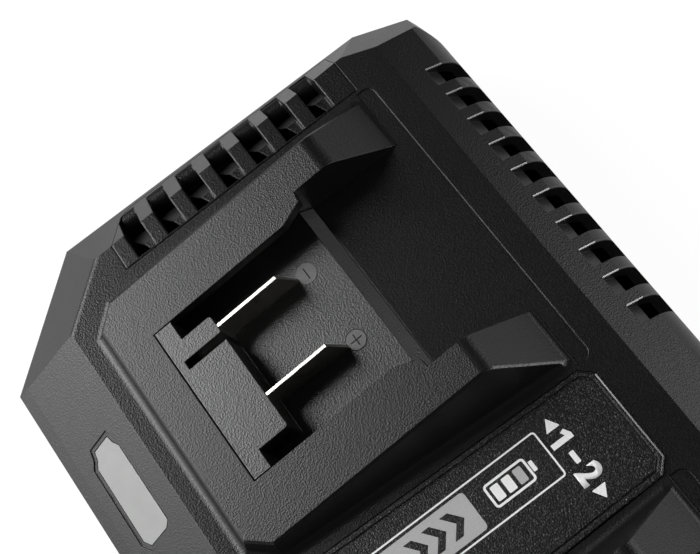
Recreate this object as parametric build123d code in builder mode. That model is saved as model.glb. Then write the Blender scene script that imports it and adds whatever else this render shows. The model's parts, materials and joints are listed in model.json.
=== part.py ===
from build123d import *
from math import atan2, cos, degrees, hypot, radians, sin, tan
import os

# Twin-bay battery charger, in millimetres.
# Origin: below the middle of the charger on the surface it stands on.
# X runs along the length, Y from front to back, Z up.

os.makedirs("parts", exist_ok=True)

# ---------------------------------------------------------------- driving sizes
# Housing
length = 302.0                  # over the rim, end to end
depth = 166.8                   # over the rim, front to back
wall = 2.6                      # moulded wall
split_z = 35.5                  # parting line of the two housings
rim_height = 1.5                # upright band above the parting line
slope_rise = 17.0               # from the band up to the deck
base_z = 1.5                    # underside of the lower housing
lower_draft = 3.5               # degrees, sides of the lower housing
fit_gap = 0.2                   # clearance round a fitted piece

rim_z = split_z + rim_height
deck_z = rim_z + slope_rise

# Rim outline, measured in from the ends and sides
rim_front_corner = (30.4, 36.2)     # cut corner: along the front, along the end
rim_back_chamfer = (6.6, 3.4)       # small corner behind the end wall
rim_back_start = 20.0               # where the end wall stops, from the back
rim_back_end = 29.0                 # where the straight back begins, from the end
back_arc_radius = 66.0

# Deck outline, measured in from the ends and sides of the rim
deck_front_inset = 25.9
front_crease = (3.9, 2.8)           # faint crease of the front slope: in from the front, above the rim
corner_run = 18.4                   # run of the slope at a cut corner
deck_corner = (17.5, 44.8)
deck_end = (12.9, 28.8)
deck_back_corner = (22.3, 5.4)
deck_back_end = 43.0

# Rear of the deck, measured from the back of the rim
rear_strip = 18.6                   # crease where the deck ends
rear_crease = (5.7, 6.6)            # sharp crease: in from the back, below the deck
rear_bulge = (1.8, 5.6)             # point on the curved rear wall: in, above the rim
rear_rim_inset = 0.2

# Bays
bay_offset = 3.5                    # bay's middle, in from the middle of its half of the housing
tilt = 7.116                        # rise of the bay to the back, degrees
bay_front_y = -37.08                # front end of the channel
bay_front_rise = 7.88               # height of that line above the deck
frame_half = 43.5                   # half width of the frame's top
frame_front = 11.8                  # frame ahead of the channel
frame_corner = (5.8, 6.5)           # cut corner: across, along
frame_draft = 20.9                  # degrees, outer walls of the frame
frame_crease = 68.6                 # where the ramp begins, along the frame
ramp_foot_y = 50.1                  # where the ramp meets the deck
foot_fillet = 3.0
crease_round = 6.0
frame_edge = 0.5                    # broken edge round the frame's top

# Channel
channel_half = 26.5                 # half width between the lips
lip = 3.8                           # lip thickness
groove_half = 32.4                  # half width below the lips
lip_end = 48.2                      # where the lip starts to open out
lip_flare = (2.8, 7.6)              # the flare: across, along
lip_notch = 0.4                     # slant of the lip's back end
floor_drop = 12.07                  # channel floor below the frame's top
floor_back = 52.8                   # back edge of the raised floor
floor_foot_y = 21.0                 # where its back slope meets the deck

# Terminal insert
insert_plate = 2.4
ledge = 3.6                         # part of the floor below the rails
ledge_end = 50.0                    # where that part ends, along the bay
insert_tail = 3.2                   # flange below the deck behind the floor
block_strip = (0.45, 6.1)           # cross bar of the terminal block, along the bay
block_half = 26.2
tongue = (-19.8, 20.2)              # tongue of the terminal block, across the bay
tongue_end = 16.4
slot = (-13.9, -11.1)               # open slot in the tongue
slot_start = 3.0
blade_thick = 0.9
blade_x = {"negative": -16.1, "positive": 9.1}
blade_span = (tongue_end, 37.6)     # along the bay, at the top
blade_rake = 3.4                    # the foot of the blade's tip lies this much further back
blade_top = 0.3                     # below the frame's top
blade_tail = (20.0, 30.0)           # tail through the floor
sense_x = (slot[0] + slot[1]) / 2   # third contact, in the slot
sense_thick = 0.8
sense_span = (6.0, 15.0)
sense_tail = 4.0
sense_top = 7.0                     # below the frame's top
block_round = 1.0
post_drop = 6.0                     # from the insert's plate down to its board
terminal_board_size = (48.0, 34.0, 1.6)
terminal_board_y = 22.0
peg_pitch = 40.0                    # locating pegs, either side of the board's screw
peg = (5.0, 2.4)                    # width of the post, width of the peg
lead_y = -4.0
lead_size = (12.0, 1.4)

# End grilles
grille_front_y = -33.5
grille_back_y = 52.3
grille_gap = (8.9, 10.6)            # inner edge from the frame's top edge: front, back
grille_outer = 1.6                  # outer edge from the end
grille_corner = ((17.5, 0.2), (4.2, 6.3), (2.1, 10.2))  # oblique front: from the end, from the front
grille_lower = 1.8                  # lower edge above the rim
rib_depth = 8.0
vent_first = 5.0                    # first slot, from the front edge of the grille
vent_pitch = 11.04
vent_width = 6.4
vent_count = 7
vent_end_wall = 0.8                 # thin wall at the slot's inner end
vent_lip = (2.7, 2.9)               # where the rounded lip leaves the end slope: from the end, above the rim
vent_lip_radius = 4.0
sill_length = 13.0                  # sill across the slot, from its inner end
sill_depth = 4.4                    # below the ribs' tops
sill_end = 1.2                      # width of the sill at the slot's inner end
sill_root = 0.5                     # how far the sill runs into the ribs

# Rear vents
rear_vent_first = 31.5              # first slot from the end
rear_vent_pitch = 10.5
rear_vent_width = 6.35
rear_vent_count = 10
rear_vent_top = 11.2                # inner end, from the back
rear_vent_low = 2.2                 # lower end, above the rim
rear_sill = (3.5, 5.0)              # sloped sill below the inner end: run, fall
rear_sill_drop = 5.1                # top of the sill, below the deck
rear_sill_thick = 2.2

# Front windows
window = [(16.9, 10.4), (16.9, 18.5), (14.3, 20.4), (-11.8, 20.2), (-13.7, 18.4), (-16.2, 17.6),
          (-16.2, 10.5), (-13.6, 9.9), (-11.4, 8.5), (15.5, 8.4)]
window_border = 1.5
window_step = 0.35
window_flange = 0.8                 # flange of the window inside the wall
led_board_centre = -15.0
led_board_size = (52.0, 14.0)
led_post_pitch = 45.0
led_post = 4.0
led_pitch = 9.0
led_size = 3.0
led_height = 2.0
led_seat = 0.3                      # between the lamps and the window

# Deck recess behind the bays, and the label plate between them
recess_half = 53.0
recess_back_y = 56.2
recess_depth = 0.4
recess_corner = 3.0
plate_room = 10.4                   # between the plate and the frame's top edge
plate_back_y = 53.8
plate_front_y = -52.5
plate_spread = 2.4                  # wider at the front, each side
plate_chamfer = 3.8
plate_thick = 1.4
plate_proud = 0.6                   # above the deck
plate_bead = 1.6                    # bead line from the long edge
plate_bead_width = 0.6

# Inside
screw_clearance = 0.05
screw_bite = 12.0                   # thread length in the upper bosses
board_size = (212.0, 114.0, 1.6)
board_centre_y = 3.0
board_z = 11.6
screw_end = 33.0                    # housing screws, in from the ends
screw_front = 17.4                  # and in from the front
screw_back = 21.4                   # and in from the back
boss = 9.0                          # width of a square screw boss
screw_radius = 1.5
boss_split_z = 22.0                 # where the upper and lower bosses meet
screw_head = (3.0, 2.4)             # radius, height
small_head = (2.6, 2.0)             # hexagon head of a board screw
counterbore_z = 12.0
board_post = (100.0, 50.0)          # board's posts from its middle: two screws, two pegs
board_boss = 6.0
transformer = (34.0, 30.0, 26.0)
transformer_at = (44.0, -6.0)
core_wall = 6.0
core_leg = 9.0
winding_out = 4.0                   # winding beyond the core, front and back
capacitor = (11.0, 28.0)            # radius, height
capacitor_at = (0.0, -8.0)
small_capacitor = (5.0, 20.0)
small_capacitor_at = (84.0, -20.0)
choke = (18.0, 12.0, 16.0, 4.0)     # width, depth, height, core
choke_at = (0.0, 30.0)
fuse_size = (2.6, 20.0)
fuse_at = (20.0, 44.0)
heatsink_at = (56.0, 32.0)
heatsink_size = (60.0, 2.5, 22.0)
heatsink_fin = (1.5, 8.0, 8.0)      # thickness, reach, pitch
heatsink_fin_count = 7
transistor = (10.0, 15.0, 4.5)
transistor_pitch = 24.0
board_screw_length = 8.0
floor_vent = (3.0, 36.0, 7.0)       # width, length, pitch
floor_vent_x = 52.0
floor_vent_count = 7

# Inlet
inlet = (24.0, 30.0, 16.0)
socket = (15.0, 8.4, 10.0)          # width, height, depth
pin_radius = 1.2
pin_pitch = 8.6
pin_root = 4.0
pin_tail = 1.6                      # square tail of a pin
pin_recess = 1.0
inlet_recess = 1.4                  # inlet's face, in from the back of the rim

# Feet and wall hooks
foot_size = (16.0, 10.0)
foot_cut = 2.5
foot_sink = 0.8
foot_end = 50.0                     # feet, in from the ends
foot_front = 20.0                   # and in from the front
foot_back = 19.0                    # and in from the back
keyhole_x = 100.0
keyhole = (4.5, 2.3, 9.0)           # head radius, neck radius, travel

# ---------------------------------------------------------------- derived places
half_length = length / 2
front_y = -depth / 2
back_y = depth / 2
bay_x = half_length / 2 - bay_offset
plate_half = bay_x - frame_half - plate_room
slope_angle = degrees(atan2(slope_rise - front_crease[1], deck_front_inset - front_crease[0]))
slope_wall = wall * (sin(radians(slope_angle)) + cos(radians(slope_angle)))
led_board_drop = slope_wall + window_flange + led_seat + led_height
bay_front_z = deck_z + bay_front_rise
crease_y = bay_front_y + frame_crease * cos(radians(tilt))
crease_z = bay_front_z + frame_crease * sin(radians(tilt))
ramp_angle = degrees(atan2(crease_z - deck_z, ramp_foot_y - crease_y))
board_top = board_z + board_size[2]
inlet_front_y = back_y - inlet_recess
tail_drop = floor_drop + insert_plate + post_drop + terminal_board_size[2] + 1
terminal_board_drop = floor_drop + insert_plate + post_drop
head_room = 2 * (screw_head[0] + fit_gap)
foot_run = foot_fillet * tan(radians(ramp_angle / 2))  # the foot fillet's reach over the deck
sides = {"left": -1, "right": 1}
screw_places = [(side * (half_length - screw_end), y) for side in sides.values()
                for y in (front_y + screw_front, back_y - screw_back)]
board_screws_at = [(-board_post[0], board_post[1]), (board_post[0], -board_post[1])]
board_pegs_at = [(-board_post[0], -board_post[1]), (board_post[0], board_post[1])]
foot_places = {f"{end}_{name}": (side * (half_length - foot_end), y) for name, side in sides.items()
               for end, y in (("front", front_y + foot_front), ("back", back_y - foot_back))}

rim_points = [(half_length - rim_front_corner[0], front_y),
              (half_length, front_y + rim_front_corner[1]),
              (half_length, back_y - rim_back_start),
              (half_length - rim_back_chamfer[0], back_y - rim_back_chamfer[1]),
              (half_length - rim_back_end, back_y)]
deck_points = [(half_length - deck_corner[0], front_y + deck_corner[1]),
               (half_length - deck_end[0], back_y - deck_end[1]),
               (half_length - deck_back_corner[0], back_y - deck_back_corner[1]),
               (half_length - deck_back_end, back_y)]


# ---------------------------------------------------------------- shared shapes
def housing_outline(points, inset=0.0):
    """Closed outline from the points of its right half, set in by the given wall."""
    *_, shoulder, back = points
    left = [(-x, y) for x, y in reversed(points)]
    with BuildSketch() as outline:
        with BuildLine():
            Polyline(*left[1:], *points[:-1])
            RadiusArc(shoulder, back, -back_arc_radius)
            Line(back, left[0])
            RadiusArc(left[0], left[1], -back_arc_radius)
        make_face()
        if inset > 0:
            offset(amount=-inset, kind=Kind.INTERSECTION)
    return outline.sketch


def squared(points):
    """The same outline with its front corners left square: its end lines run on to the front."""
    (x1, y1), (x2, y2) = points[-4:-2]
    return [(x1 - (y1 - front_y) * (x2 - x1) / (y2 - y1), front_y), *points[-3:]]


def corner_plane(side, inset=0.0):
    """Plane of the slope at a cut front corner, or one set in by the given wall."""
    along, across = rim_front_corner
    span = hypot(along, across)
    angle = atan2(slope_rise, corner_run)
    normal = (side * across / span * sin(angle), -along / span * sin(angle), cos(angle))
    face = Plane(origin=(side * (half_length - along), front_y, rim_z), z_dir=normal)
    return face.offset(-inset * (sin(angle) + cos(angle)))


def housing_block(inset=0.0):
    """The upper housing's outer form, or the same form set in by the given wall."""
    low = split_z - inset
    front = front_y + inset
    back = back_y - inset
    with BuildSketch(Plane.YZ) as profile:
        with BuildLine():
            bulge = (back - rear_bulge[0], rim_z + rear_bulge[1] - inset)
            crease = (back - rear_crease[0], deck_z - rear_crease[1] - inset)
            foot = (back - rear_rim_inset, rim_z - inset)
            Polyline(crease, (back - rear_strip, deck_z - inset), (front + deck_front_inset, deck_z - inset),
                     (front + front_crease[0], rim_z + front_crease[1] - inset), (front, rim_z - inset),
                     (front, low), (back, low), foot)
            ThreePointArc(foot, bulge, crease)
        make_face()
    with BuildPart() as block:
        with BuildSketch(Plane.XY.offset(rim_z - inset)):
            add(housing_outline(squared(rim_points), inset))
        with BuildSketch(Plane.XY.offset(deck_z - inset)):
            add(housing_outline(squared(deck_points), inset))
        loft(ruled=True)
        for side in sides.values():
            split(bisect_by=corner_plane(side, inset), keep=Keep.BOTTOM)
        with BuildSketch(Plane.XY.offset(rim_z - inset)):
            add(housing_outline(rim_points, inset))
        extrude(amount=low - rim_z + inset)
        extrude(profile.sketch, amount=length, both=True, mode=Mode.INTERSECT)
    return block.part


def bay_plane(side, drop=0.0):
    """Plane of a bay's frame, local Y running up to the back, or a plane below it."""
    normal = (0, -sin(radians(tilt)), cos(radians(tilt)))
    top = Plane(origin=(side * bay_x, bay_front_y, bay_front_z), x_dir=(1, 0, 0), z_dir=normal)
    return top.offset(-drop)


def frame_wall(side, point, outward, inset):
    """Plane of a drafted wall of a bay's frame, through a point of the top's outline."""
    top = bay_plane(side)
    draft = radians(frame_draft)
    level = top.x_dir * outward[0] + top.y_dir * outward[1]
    normal = level * cos(draft) + top.z_dir * sin(draft)
    face = Plane(origin=top.from_local_coords((*point, 0)), z_dir=normal)
    return face.offset(-inset * (cos(draft) + sin(draft)))


def top_edges(frame):
    """Edges round the top of a bay's frame, ahead of its ramp."""
    low = deck_z - wall + frame_edge
    edges = [edge for edge in frame.edges() if edge.bounding_box().min.Z > low]
    return [edge for edge in edges if edge.center().Y < crease_y - crease_round]


def bay_frame(side, inset=0.0):
    """The raised frame with its drafted walls and ramp, or its hollow core."""
    cut_x, cut_y = frame_corner
    cut = hypot(cut_x, cut_y)
    walls = [((0, -frame_front), (0, -1))]
    for hand in (-1, 1):
        walls.append(((hand * frame_half, 0), (hand, 0)))
        walls.append(((hand * frame_half, cut_y - frame_front), (hand * cut_y / cut, -cut_x / cut)))
    ramp_normal = (0, sin(radians(ramp_angle)), cos(radians(ramp_angle)))
    ramp = Plane(origin=(0, crease_y, crease_z), x_dir=(1, 0, 0), z_dir=ramp_normal).offset(-inset)
    with BuildPart() as frame:
        with BuildSketch(bay_plane(side, inset)):
            Rectangle(2 * frame_half + 2 * floor_drop, 2 * depth)
        extrude(amount=-2 * floor_drop)
        for point, outward in walls:
            split(bisect_by=frame_wall(side, point, outward, inset), keep=Keep.BOTTOM)
        split(bisect_by=Plane.XY.offset(deck_z - wall - inset), keep=Keep.TOP)
        split(bisect_by=ramp, keep=Keep.BOTTOM)
        if inset == 0:
            fillet(frame.edges().filter_by(Axis.X).group_by(Axis.Z)[-1], radius=crease_round)
            chamfer(top_edges(frame), length=frame_edge)
    return frame.part


def bay_point(along, drop):
    """Y and Z of a point of a bay's long section, from its place along and below the frame's top."""
    y = bay_front_y + along * cos(radians(tilt)) + drop * sin(radians(tilt))
    z = bay_front_z + along * sin(radians(tilt)) - drop * cos(radians(tilt))
    return (y, z)


def channel(side):
    """What the battery's foot slides through: the way between the lips and the grooves below."""
    flare_x, flare_y = lip_flare
    mouth = channel_half + flare_x
    lip_back = lip_end + flare_y
    with BuildPart() as way:
        with BuildSketch(bay_plane(side, lip)):
            with BuildLine():
                Polyline((-channel_half, 0), (channel_half, 0), (channel_half, lip_end), (mouth, lip_back),
                         (groove_half, lip_back + lip_notch), (groove_half, depth), (-groove_half, depth),
                         (-groove_half, lip_back + lip_notch), (-mouth, lip_back),
                         (-channel_half, lip_end), close=True)
            make_face()
        extrude(amount=2 * floor_drop)
        with BuildSketch(bay_plane(side, floor_drop)):
            with Locations((0, depth / 2)):
                Rectangle(2 * groove_half, depth)
        extrude(amount=floor_drop - lip)
        with BuildSketch(Plane.XY.offset(deck_z - recess_depth)):
            with Locations((side * bay_x, (floor_foot_y + recess_back_y) / 2)):
                Rectangle(2 * groove_half, recess_back_y - floor_foot_y)
        extrude(amount=floor_drop - lip)
    return way.part


def insert_pocket(side):
    """Room in the upper housing for a bay's terminal insert, below the rails."""
    start = -ledge - fit_gap
    end = ledge_end + fit_gap
    half = groove_half + ledge + fit_gap
    with BuildPart() as pocket:
        with BuildSketch(bay_plane(side, floor_drop)):
            with Locations((0, (start + end) / 2)):
                Rectangle(2 * half, end - start)
        extrude(amount=-2 * floor_drop)
        with BuildSketch(Plane.XY.offset(deck_z + lip)):
            with Locations((side * bay_x, floor_foot_y - ledge_end / 4)):
                Rectangle(2 * groove_half, ledge_end / 2)
        extrude(amount=-floor_drop)
    return pocket.part


def rail_walls(side):
    """Solid zone of a bay that the hollow leaves: the inner walls of the rails and the deck behind."""
    half = groove_half + wall
    with BuildPart() as walls:
        with BuildSketch(bay_plane(side, floor_drop)):
            with Locations((0, depth / 2 - wall)):
                Rectangle(2 * half, depth)
        extrude(amount=2 * floor_drop)
        with BuildSketch(Plane.XY.offset(deck_z - wall)):
            with Locations((side * bay_x, back_y / 2)):
                Rectangle(2 * half, back_y)
        extrude(amount=floor_drop)
    return walls.part


def grille_inner_x(y):
    """Distance of a grille's inner edge from the middle, at the given depth."""
    front, back = (bay_x + frame_half + gap for gap in grille_gap)
    return front + (back - front) * (y - grille_front_y) / (grille_back_y - grille_front_y)


def end_outline(side, grow=0.0):
    """Plan outline of an end grille, or one larger or smaller all round."""
    corner = [(side * (half_length - x), grille_front_y + y) for x, y in grille_corner]
    with BuildSketch() as outline:
        with BuildLine():
            Polyline((side * grille_inner_x(grille_front_y), grille_front_y), *corner,
                     (side * (half_length - grille_outer), grille_back_y),
                     (side * grille_inner_x(grille_back_y), grille_back_y), close=True)
        make_face()
        if grow != 0:
            offset(amount=grow, kind=Kind.INTERSECTION)
    return outline.sketch


def slope_plane(side):
    """Plane of the front slope, its origin on the deck's front edge at the bay's middle."""
    normal = (0, -sin(radians(slope_angle)), cos(radians(slope_angle)))
    return Plane(origin=(side * bay_x, front_y + deck_front_inset, deck_z), x_dir=(1, 0, 0), z_dir=normal)


def window_outline(side, grow=0.0):
    """Outline of a front window on the slope plane, or one larger or smaller all round."""
    with BuildSketch() as outline:
        with BuildLine():
            Polyline(*[(-side * x, -y) for x, y in window], close=True)
        make_face()
        if grow != 0:
            offset(amount=grow, kind=Kind.INTERSECTION)
    return outline.sketch


def plate_outline(grow=0.0):
    """Outline of the label plate: wider at the front, its back corners cut."""
    front = plate_half + plate_spread
    cut = plate_chamfer
    with BuildSketch() as outline:
        with BuildLine():
            Polyline((-front, plate_front_y), (front, plate_front_y), (plate_half, plate_back_y - cut),
                     (plate_half - cut, plate_back_y), (-plate_half + cut, plate_back_y),
                     (-plate_half, plate_back_y - cut), close=True)
        make_face()
        if grow != 0:
            offset(amount=grow, kind=Kind.INTERSECTION)
    return outline.sketch


def foot_outline(grow=0.0):
    """Outline of a foot: a pad with cut corners, or the pocket round it."""
    with BuildSketch() as pad:
        Rectangle(foot_size[0] + 2 * grow, foot_size[1] + 2 * grow)
        chamfer(pad.vertices(), length=foot_cut)
    return pad.sketch


def bay_foot(shape, side):
    """Edges where a bay's frame meets the deck."""
    low_y = bay_front_y - 2 * frame_front
    edges = shape.edges().filter_by_position(Axis.Z, deck_z - 0.01, deck_z + 0.01)
    edges = edges.filter_by_position(Axis.Y, low_y, ramp_foot_y + 0.1)
    reach = frame_half + frame_front
    return edges.filter_by_position(Axis.X, side * bay_x - reach, side * bay_x + reach)


# ---------------------------------------------------------------- upper housing
with BuildPart() as hollow:
    add(housing_block(wall))
    for side in sides.values():
        add(bay_frame(side, wall))
    for side in sides.values():
        add(rail_walls(side), mode=Mode.SUBTRACT)
    with BuildSketch(Plane.XY.offset(split_z - wall)):
        with Locations(*screw_places):
            Rectangle(boss, boss)
    extrude(amount=deck_z, mode=Mode.SUBTRACT)
    with BuildSketch(Plane.YZ):
        with BuildLine():
            sill_y = back_y - rear_vent_top
            sill_z = deck_z - rear_sill_drop
            sill_tip = (sill_y + rear_sill[0], sill_z - rear_sill[1])
            Polyline((sill_y, sill_z), sill_tip, (sill_tip[0] - rear_sill_thick, sill_tip[1]),
                     (sill_y - rear_sill_thick, sill_z), close=True)
        make_face()
    extrude(amount=half_length - rear_vent_first + wall, both=True, mode=Mode.SUBTRACT)

with BuildPart() as slot_cutter:
    lip_x = half_length - vent_lip[0]
    lip_z = rim_z + vent_lip[1]
    inner_x = half_length - 2 * deck_corner[0]
    with BuildSketch(Plane.XZ):
        with BuildLine():
            end_slope = atan2(slope_rise, deck_corner[0])
            centre = (lip_x - vent_lip_radius * sin(end_slope), lip_z - vent_lip_radius * cos(end_slope))
            crest = (centre[0], centre[1] + vent_lip_radius)
            inside = (centre[0] - vent_lip_radius, centre[1])
            ThreePointArc((lip_x, lip_z), crest, inside)
            Polyline(inside, (inside[0], split_z), (inner_x, split_z), (inner_x, deck_z + wall),
                     (lip_x, deck_z + wall), (lip_x, lip_z))
        make_face()
    extrude(amount=vent_width / 2, both=True)

with BuildPart() as rear_cutter:
    with BuildSketch(Plane.YZ):
        with BuildLine():
            low_z = rim_z + rear_vent_low
            Polyline((sill_y, deck_z + wall), (sill_y, sill_z), sill_tip, (sill_tip[0], low_z),
                     (back_y + wall, low_z), (back_y + wall, deck_z + wall), close=True)
        make_face()
    extrude(amount=rear_vent_width / 2, both=True)

vent_ys = [grille_front_y + vent_first + vent_width / 2 + i * vent_pitch for i in range(vent_count)]
rear_vent_xs = [half_length - rear_vent_first - rear_vent_width / 2 - i * rear_vent_pitch
                for i in range(rear_vent_count)]

with BuildPart() as upper_housing:
    add(housing_block())
    for side in sides.values():
        add(bay_frame(side))
    for side in sides.values():
        fillet(bay_foot(upper_housing, side), radius=foot_fillet)
    add(hollow.part, mode=Mode.SUBTRACT)
    with BuildSketch(Plane.XY.offset(boss_split_z)):
        with Locations(*screw_places):
            Rectangle(boss, boss)
    extrude(amount=split_z + wall - boss_split_z)
    with BuildSketch(Plane.XY.offset(boss_split_z)):
        with Locations(*screw_places):
            Circle(screw_radius + screw_clearance)
    extrude(amount=screw_bite + 1, mode=Mode.SUBTRACT)
    for side in sides.values():
        add(channel(side), mode=Mode.SUBTRACT)
        add(insert_pocket(side), mode=Mode.SUBTRACT)
        with BuildSketch(Plane.XY.offset(deck_z - recess_depth)) as recess:
            back_strip = recess_back_y - ramp_foot_y - foot_run
            with Locations((side * bay_x, recess_back_y - back_strip / 2)):
                Rectangle(2 * recess_half, back_strip)
            fillet(recess.vertices().group_by(Axis.Y)[-1], radius=recess_corner)
        extrude(amount=2 * recess_depth, mode=Mode.SUBTRACT)
        with BuildSketch(Plane.XY.offset(rim_z + grille_lower)):
            add(end_outline(side))
        extrude(amount=slope_rise, mode=Mode.SUBTRACT)
        with BuildSketch(slope_plane(side)):
            add(window_outline(side, fit_gap))
        extrude(amount=-3 * wall, mode=Mode.SUBTRACT)
        with BuildSketch(slope_plane(side)):
            add(window_outline(side, window_border))
        extrude(amount=-window_step, mode=Mode.SUBTRACT)
        with BuildSketch(slope_plane(side).offset(-wall)):
            with Locations((0, led_board_centre)):
                with GridLocations(led_post_pitch, 0, 2, 1):
                    Rectangle(led_post, led_post)
        extrude(amount=wall - led_board_drop)
        for x in rear_vent_xs:
            add(rear_cutter.part.moved(Location((side * x, 0, 0))), mode=Mode.SUBTRACT)
    with BuildSketch(Plane.XY.offset(deck_z + plate_proud - plate_thick)):
        add(plate_outline(fit_gap))
    extrude(amount=plate_thick, mode=Mode.SUBTRACT)
upper_housing.part.label = "upper_housing"
export_step(upper_housing.part, "parts/upper_housing.step")

# ---------------------------------------------------------------- lower housing
with BuildPart() as lower_housing:
    with BuildSketch(Plane.XY.offset(split_z)):
        add(housing_outline(rim_points))
    extrude(amount=-(split_z - base_z), taper=lower_draft)
    with BuildSketch(Plane.XY.offset(split_z)):
        add(housing_outline(rim_points, wall))
    extrude(amount=-(split_z - base_z - wall), taper=lower_draft, mode=Mode.SUBTRACT)
    with BuildSketch(Plane.XY.offset(base_z)):
        with Locations(*screw_places):
            Rectangle(boss, boss)
    extrude(amount=boss_split_z - base_z)
    with BuildSketch(Plane.XY.offset(base_z)):
        with Locations(*board_screws_at, *board_pegs_at):
            Rectangle(board_boss, board_boss)
    extrude(amount=board_z - base_z)
    with BuildSketch(Plane.XY.offset(board_z)):
        with Locations(*board_pegs_at):
            Rectangle(peg[1], peg[1])
    extrude(amount=board_size[2] + fit_gap)
    with BuildSketch(Plane.XY.offset(base_z)):
        with Locations(*screw_places):
            Rectangle(head_room, head_room)
    extrude(amount=counterbore_z - base_z, mode=Mode.SUBTRACT)
    with BuildSketch(Plane.XY.offset(base_z)):
        with Locations(*screw_places):
            Circle(screw_radius + fit_gap)
    extrude(amount=boss_split_z, mode=Mode.SUBTRACT)
    with BuildSketch(Plane.XY.offset(base_z + wall)):
        with Locations(*board_screws_at):
            Circle(screw_radius + screw_clearance)
    extrude(amount=board_z, mode=Mode.SUBTRACT)
    with BuildSketch(Plane.XY.offset(base_z)):
        with GridLocations(2 * floor_vent_x, 0, 2, 1):
            with GridLocations(floor_vent[2], 0, floor_vent_count, 1):
                Rectangle(floor_vent[0], floor_vent[1])
        for side in sides.values():
            with Locations((side * keyhole_x, 0)):
                Circle(keyhole[0])
            with Locations((side * keyhole_x, keyhole[2] / 2)):
                SlotCenterToCenter(keyhole[2], 2 * keyhole[1], rotation=90)
    extrude(amount=wall, mode=Mode.SUBTRACT)
    with BuildSketch(Plane.XY.offset(base_z)):
        for place in foot_places.values():
            with Locations(place):
                add(foot_outline(fit_gap))
    extrude(amount=foot_sink, mode=Mode.SUBTRACT)
    with BuildSketch(Plane.XZ.offset(-inlet_front_y + wall)):
        with Locations((0, board_top + inlet[2] / 2)):
            Rectangle(inlet[0] + 2 * fit_gap, inlet[2] + 2 * fit_gap)
    extrude(amount=-4 * wall, mode=Mode.SUBTRACT)
lower_housing.part.label = "lower_housing"
export_step(lower_housing.part, "parts/lower_housing.step")

# ---------------------------------------------------------------- end grilles
def vent_slot(side, y):
    """Cutter of one grille slot, open behind the rounded lip."""
    with BuildPart() as cutter:
        add(slot_cutter.part.moved(Location((0, y, 0))))
        split(bisect_by=Plane.YZ.offset(grille_inner_x(y) + vent_end_wall), keep=Keep.TOP)
    if side < 0:
        return mirror(cutter.part, about=Plane.YZ, mode=Mode.PRIVATE)
    return cutter.part


def vent_sills(side):
    """Sills below the ribs: across each slot's outer part, and narrowing to its inner end."""
    with BuildPart() as sills:
        with BuildSketch(Plane.XY.offset(rim_z)):
            for y in vent_ys:
                front = y - vent_width / 2 - sill_root
                back = y + vent_width / 2 + sill_root
                inner_x = grille_inner_x(y) + vent_end_wall - sill_root
                outer_x = grille_inner_x(y) + vent_end_wall + sill_length
                with BuildLine():
                    Polyline((side * outer_x, front), (side * outer_x, back), (side * inner_x, back),
                             (side * inner_x, back - sill_root - sill_end), close=True)
                make_face()
        extrude(amount=slope_rise)
        add(housing_block(sill_depth), mode=Mode.INTERSECT)
        add(housing_block(rib_depth), mode=Mode.SUBTRACT)
    return sills.part


for name, side in sides.items():
    with BuildPart() as flange:
        with BuildSketch(Plane.XY.offset(rim_z)):
            add(end_outline(side, wall))
        extrude(amount=slope_rise)
        add(housing_block(wall), mode=Mode.INTERSECT)
    with BuildPart() as side_grille:
        with BuildSketch(Plane.XY.offset(rim_z + grille_lower + fit_gap)):
            add(end_outline(side, -fit_gap))
        extrude(amount=slope_rise)
        add(housing_block(), mode=Mode.INTERSECT)
        add(flange.part)
        add(housing_block(rib_depth), mode=Mode.SUBTRACT)
        for y in vent_ys:
            add(vent_slot(side, y), mode=Mode.SUBTRACT)
        add(vent_sills(side))
    side_grille.part.label = f"side_grille_{name}"
    export_step(side_grille.part, f"parts/side_grille_{name}.step")

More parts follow.
